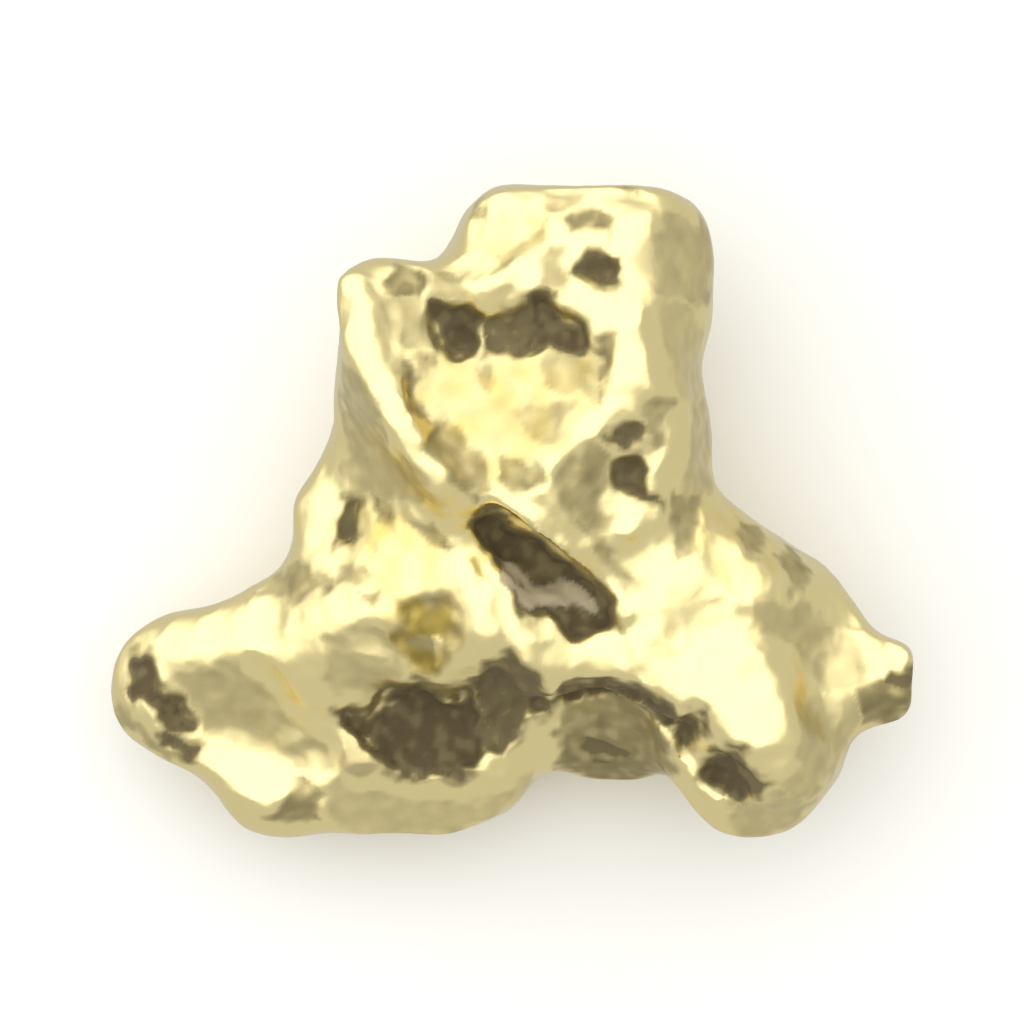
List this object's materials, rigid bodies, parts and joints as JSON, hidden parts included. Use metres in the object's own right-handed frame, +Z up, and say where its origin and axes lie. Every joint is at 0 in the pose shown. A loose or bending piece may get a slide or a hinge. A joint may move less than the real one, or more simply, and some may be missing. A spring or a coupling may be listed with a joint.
{
  "type": "gold nugget",
  "caption": "Water-worn lump of native gold with a blocky head, splayed feet, dark pits and a deep slot; lies flat as a mineral specimen, treasure or display piece.",
  "frame": {"origin": "middle of the outline seen from above, on the plane that the nugget rests on", "axes": "+X along the length, from the left toe to the knob; +Y from the toes to the crown; +Z up, out of the side that the picture shows"},
  "size_m": [0.012, 0.0098, 0.0052],
  "materials": {
    "gold": "water-worn native gold, satin with rubbed bright crests and iron-stained dirt in its pits"
  },
  "bodies": {
    "root": {"nugget": "gold"}
  },
  "joints": []
}
